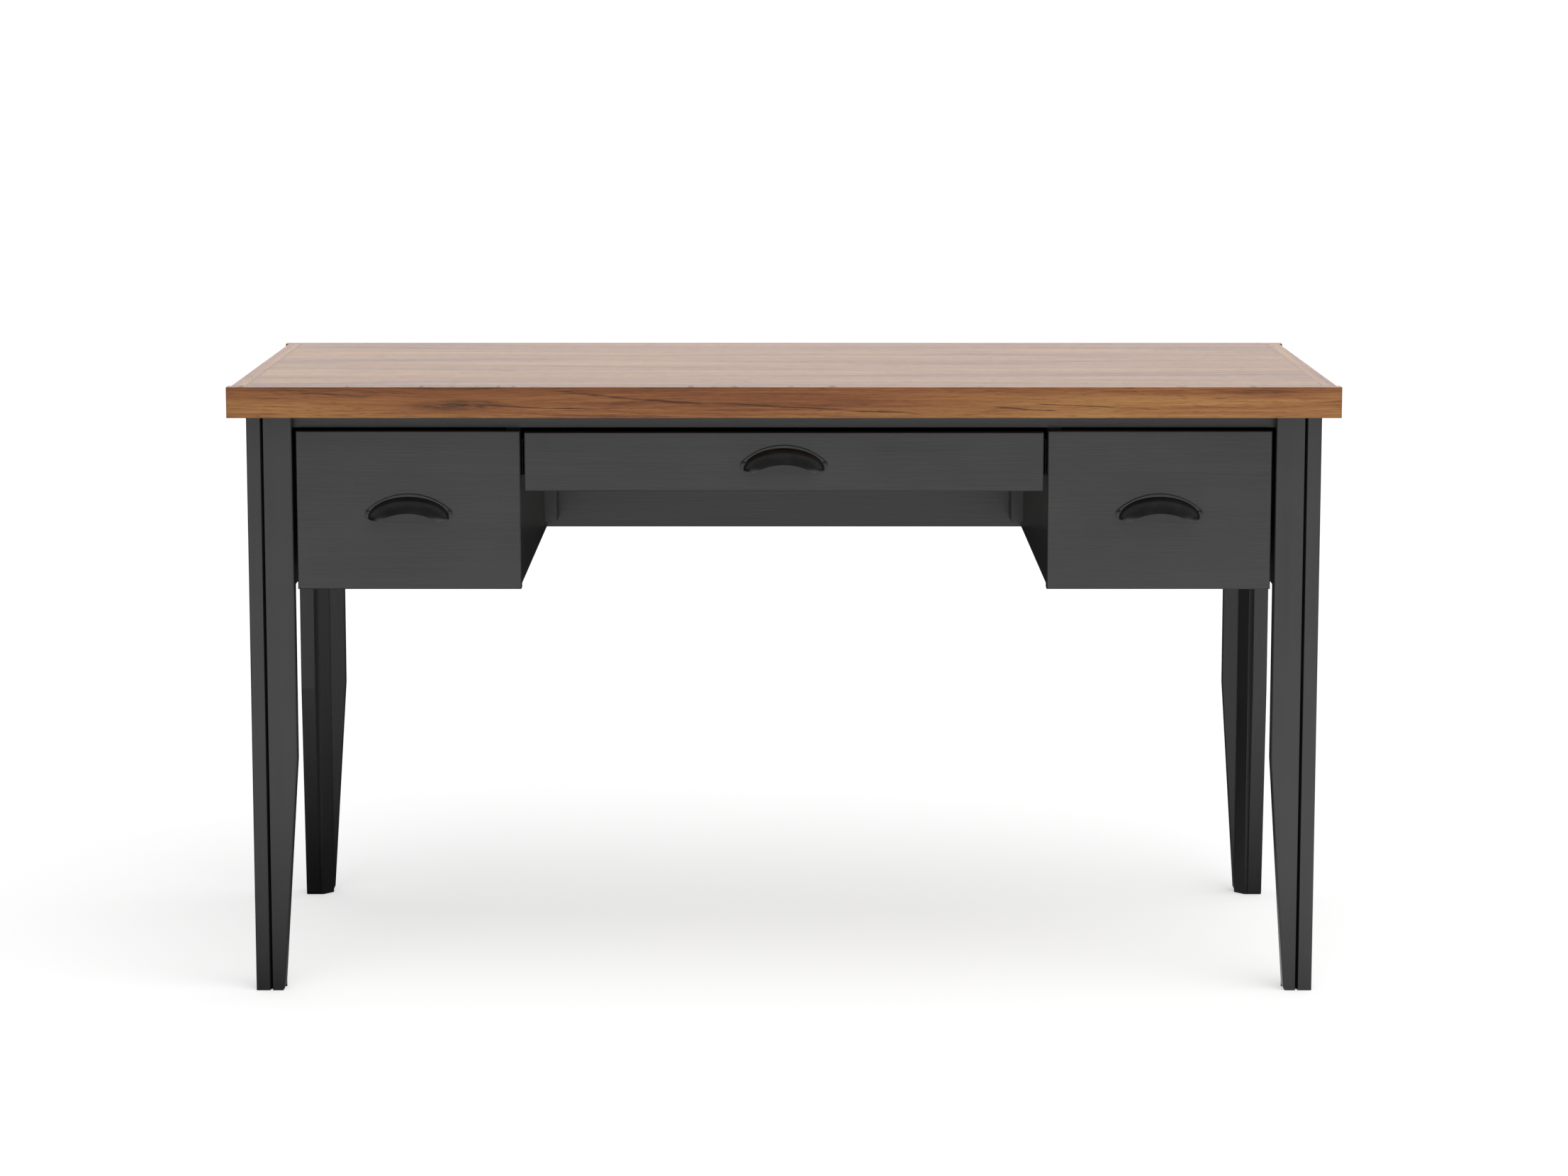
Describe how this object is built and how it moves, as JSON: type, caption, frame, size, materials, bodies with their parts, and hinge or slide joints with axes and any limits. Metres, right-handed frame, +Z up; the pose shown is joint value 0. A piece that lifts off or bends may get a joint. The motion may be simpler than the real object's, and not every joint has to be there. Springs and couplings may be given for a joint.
{
  "type": "writing desk",
  "caption": "Rectangular writing desk with a wooden top, tapered L-section legs, a kneehole, and sliding drawers with cup pulls.",
  "frame": {"origin": "on the floor under the middle of the desktop", "axes": "+X along the desk to the sitter's right, +Y away from the sitter, +Z up"},
  "size_m": [1.372, 0.56, 0.767],
  "materials": {
    "walnut_top": "satin clear lacquer over brown long-grained wood",
    "charcoal_paint": "satin charcoal paint over fine wood grain",
    "drawer_wood": "plain sealed wood",
    "slide_steel": "dark zinc-plated sheet steel",
    "black_iron": "satin black",
    "screw_steel": "dark oxide, worn bright in the slot"
  },
  "bodies": {
    "desk": {"back_left_leg_corner_block": "charcoal_paint", "back_left_leg_face_board": "charcoal_paint", "back_left_leg_side_board": "charcoal_paint", "back_panel": "charcoal_paint", "back_right_leg_corner_block": "charcoal_paint", "back_right_leg_face_board": "charcoal_paint", "back_right_leg_side_board": "charcoal_paint", "centre_drawer_cabinet_slide_members": "slide_steel", "desktop_back_edge": "walnut_top", "desktop_front_edge": "walnut_top", "desktop_left_edge": "walnut_top", "desktop_panel": "walnut_top", "desktop_right_edge": "walnut_top", "front_left_leg_corner_block": "charcoal_paint", "front_left_leg_face_board": "charcoal_paint", "front_left_leg_side_board": "charcoal_paint", "front_rail": "charcoal_paint", "front_right_leg_corner_block": "charcoal_paint", "front_right_leg_face_board": "charcoal_paint", "front_right_leg_side_board": "charcoal_paint", "left_drawer_cabinet_slide_members": "slide_steel", "left_kneehole_cleat": "charcoal_paint", "left_kneehole_panel": "charcoal_paint", "left_side_panel": "charcoal_paint", "left_slide_panel": "charcoal_paint", "right_drawer_cabinet_slide_members": "slide_steel", "right_kneehole_cleat": "charcoal_paint", "right_kneehole_panel": "charcoal_paint", "right_side_panel": "charcoal_paint", "right_slide_panel": "charcoal_paint"},
    "left_drawer": {"left_drawer_back": "drawer_wood", "left_drawer_bottom": "drawer_wood", "left_drawer_cup_pull": "black_iron", "left_drawer_drawer_slide_members": "slide_steel", "left_drawer_front": "charcoal_paint", "left_drawer_left_side": "drawer_wood", "left_drawer_pull_screws": "screw_steel", "left_drawer_right_side": "drawer_wood"},
    "left_slides": {"left_drawer_middle_slide_members": "slide_steel"},
    "centre_drawer": {"centre_drawer_back": "drawer_wood", "centre_drawer_bottom": "drawer_wood", "centre_drawer_cup_pull": "black_iron", "centre_drawer_drawer_slide_members": "slide_steel", "centre_drawer_front": "charcoal_paint", "centre_drawer_left_side": "drawer_wood", "centre_drawer_pull_screws": "screw_steel", "centre_drawer_right_side": "drawer_wood"},
    "centre_slides": {"centre_drawer_middle_slide_members": "slide_steel"},
    "right_drawer": {"right_drawer_back": "drawer_wood", "right_drawer_bottom": "drawer_wood", "right_drawer_cup_pull": "black_iron", "right_drawer_drawer_slide_members": "slide_steel", "right_drawer_front": "charcoal_paint", "right_drawer_left_side": "drawer_wood", "right_drawer_pull_screws": "screw_steel", "right_drawer_right_side": "drawer_wood"},
    "right_slides": {"right_drawer_middle_slide_members": "slide_steel"}
  },
  "joints": [
    {"name": "left_drawer_slide", "type": "slide", "parent": "desk", "child": "left_drawer", "axis": [0, -1, 0], "range_m": [0, 0.39]},
    {"name": "left_middle_member_slide", "type": "slide", "parent": "desk", "child": "left_slides", "axis": [0, -1, 0], "range_m": [0, 0.195]},
    {"name": "centre_drawer_slide", "type": "slide", "parent": "desk", "child": "centre_drawer", "axis": [0, -1, 0], "range_m": [0, 0.39]},
    {"name": "centre_middle_member_slide", "type": "slide", "parent": "desk", "child": "centre_slides", "axis": [0, -1, 0], "range_m": [0, 0.195]},
    {"name": "right_drawer_slide", "type": "slide", "parent": "desk", "child": "right_drawer", "axis": [0, -1, 0], "range_m": [0, 0.39]},
    {"name": "right_middle_member_slide", "type": "slide", "parent": "desk", "child": "right_slides", "axis": [0, -1, 0], "range_m": [0, 0.195]}
  ],
  "couplings": [
    {"joint": "left_middle_member_slide", "follows": "left_drawer_slide", "ratio": 0.5},
    {"joint": "centre_middle_member_slide", "follows": "centre_drawer_slide", "ratio": 0.5},
    {"joint": "right_middle_member_slide", "follows": "right_drawer_slide", "ratio": 0.5}
  ]
}
